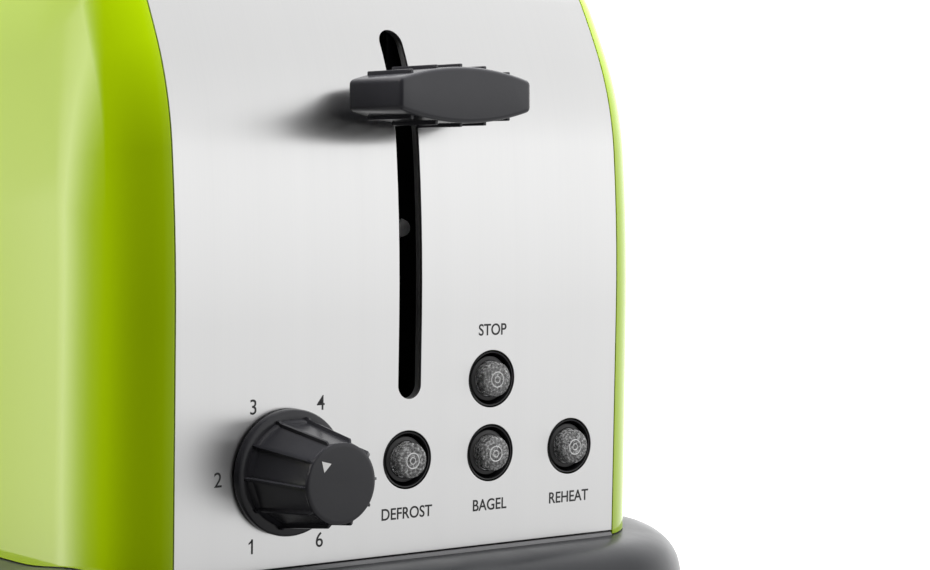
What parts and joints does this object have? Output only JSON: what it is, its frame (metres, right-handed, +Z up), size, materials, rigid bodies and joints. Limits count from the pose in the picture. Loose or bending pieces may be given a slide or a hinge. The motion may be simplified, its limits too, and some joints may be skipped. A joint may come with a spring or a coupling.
{
  "type": "pop-up toaster",
  "caption": "Pop-up toaster with brushed steel ends and top, glossy green side panels, a flared grey base, a lever, a browning dial and push buttons.",
  "frame": {"origin": "on the table, under the middle of the object's box", "axes": "+X to the right of the control end, +Y from the control end to the rear, +Z up"},
  "size_m": [0.204, 0.2938, 0.191],
  "materials": {
    "brushed_steel": "fine vertical brushing, satin",
    "green_paint": "lime green, high gloss",
    "plinth_grey": "dark grey, satin moulded",
    "knob_grey": "dark grey, satin moulded",
    "black_plastic": "black, semi-gloss",
    "clear_cap": "clear grey, gloss, with concentric rings",
    "rubber": "black, matte",
    "zinc_steel": "zinc-plated sheet and wire",
    "mica": "pale mica sheet",
    "heater_ribbon": "dull nickel-chrome ribbon",
    "copper_coil": "wound copper",
    "circuit_board": "green circuit board"
  },
  "bodies": {
    "housing": {"plinth": "plinth_grey", "bottom_plate": "zinc_steel", "front_end_panel": "brushed_steel", "rear_end_panel": "brushed_steel", "top_plate": "brushed_steel", "cheek_left": "green_paint", "cheek_right": "green_paint", "cord_gland": "black_plastic", "chassis_plate_front": "zinc_steel", "chassis_plate_rear": "zinc_steel", "return_spring": "zinc_steel", "guide_rod": "zinc_steel", "rod_bracket_top": "zinc_steel", "rod_bracket_bottom": "zinc_steel", "electromagnet": "copper_coil", "lever_slot_guide": "black_plastic", "slot_guide_screw": "zinc_steel", "control_board": "circuit_board", "potentiometer": "zinc_steel", "foot_front_left": "rubber", "foot_front_right": "rubber", "foot_rear_left": "rubber", "foot_rear_right": "rubber", "heat_shield_left": "zinc_steel", "slot_collar_left": "brushed_steel", "heater_board_left_outer": "mica", "heater_ribbon_left_outer": "heater_ribbon", "heater_board_left_inner": "mica", "heater_ribbon_left_inner": "heater_ribbon", "heat_shield_right": "zinc_steel", "slot_collar_right": "brushed_steel", "heater_board_right_outer": "mica", "heater_ribbon_right_outer": "heater_ribbon", "heater_board_right_inner": "mica", "heater_ribbon_right_inner": "heater_ribbon", "bezel_stop": "black_plastic", "bezel_defrost": "black_plastic", "bezel_bagel": "black_plastic", "bezel_reheat": "black_plastic"},
    "carriage": {"carriage_slider": "zinc_steel", "bread_lifter_left": "zinc_steel", "bread_lifter_right": "zinc_steel", "armature": "zinc_steel", "lever_arm": "zinc_steel", "lever_knob": "knob_grey"},
    "dial": {"dial_knob": "knob_grey", "dial_shaft": "zinc_steel"},
    "tray": {"crumb_tray": "zinc_steel", "crumb_tray_pull": "plinth_grey"},
    "stop_button": {"button_stop": "clear_cap"},
    "defrost_button": {"button_defrost": "clear_cap"},
    "bagel_button": {"button_bagel": "clear_cap"},
    "reheat_button": {"button_reheat": "clear_cap"},
    "guide_left_outer": {"bread_guide_left_outer": "zinc_steel"},
    "guide_left_inner": {"bread_guide_left_inner": "zinc_steel"},
    "guide_right_outer": {"bread_guide_right_outer": "zinc_steel"},
    "guide_right_inner": {"bread_guide_right_inner": "zinc_steel"}
  },
  "joints": [
    {"name": "lever_slide", "type": "slide", "parent": "housing", "child": "carriage", "axis": [0, 0, 1], "range_m": [-0.072, 0.012], "stiffness_N_per_m": 150, "springref_m": 0.00935, "deforming": ["return_spring"]},
    {"name": "dial_turn", "type": "hinge", "parent": "housing", "child": "dial", "pos_m": [-0.03785, -0.12171, 0.05019], "axis": [0, 0.9997, 0.0262], "range_deg": [-105, 195]},
    {"name": "tray_slide", "type": "slide", "parent": "housing", "child": "tray", "axis": [0, 1, 0], "range_m": [0, 0.2]},
    {"name": "stop_press", "type": "slide", "parent": "housing", "child": "stop_button", "axis": [0, 0.9997, 0.0262], "range_m": [0, 0.002], "stiffness_N_per_m": 300, "springref_m": -0.001},
    {"name": "defrost_press", "type": "slide", "parent": "housing", "child": "defrost_button", "axis": [0, 0.9997, 0.0262], "range_m": [0, 0.002], "stiffness_N_per_m": 300, "springref_m": -0.001},
    {"name": "bagel_press", "type": "slide", "parent": "housing", "child": "bagel_button", "axis": [0, 0.9997, 0.0262], "range_m": [0, 0.002], "stiffness_N_per_m": 300, "springref_m": -0.001},
    {"name": "reheat_press", "type": "slide", "parent": "housing", "child": "reheat_button", "axis": [0, 0.9997, 0.0262], "range_m": [0, 0.002], "stiffness_N_per_m": 300, "springref_m": -0.001},
    {"name": "guide_left_outer_tilt", "type": "hinge", "parent": "housing", "child": "guide_left_outer", "pos_m": [-0.041, 0.00392, 0.0508], "axis": [0, 1, 0], "range_deg": [-0.69, 4.13]},
    {"name": "guide_left_inner_tilt", "type": "hinge", "parent": "housing", "child": "guide_left_inner", "pos_m": [-0.013, 0.00392, 0.0508], "axis": [0, 1, 0], "range_deg": [-4.13, 0.69]},
    {"name": "guide_right_outer_tilt", "type": "hinge", "parent": "housing", "child": "guide_right_outer", "pos_m": [0.041, 0.00392, 0.0508], "axis": [0, 1, 0], "range_deg": [-4.13, 0.69]},
    {"name": "guide_right_inner_tilt", "type": "hinge", "parent": "housing", "child": "guide_right_inner", "pos_m": [0.013, 0.00392, 0.0508], "axis": [0, 1, 0], "range_deg": [-0.69, 4.13]}
  ],
  "couplings": [
    {"joint": "guide_left_outer_tilt", "follows": "lever_slide", "rad_per_m": -1},
    {"joint": "guide_left_inner_tilt", "follows": "lever_slide", "rad_per_m": 1},
    {"joint": "guide_right_outer_tilt", "follows": "lever_slide", "rad_per_m": 1},
    {"joint": "guide_right_inner_tilt", "follows": "lever_slide", "rad_per_m": -1}
  ]
}
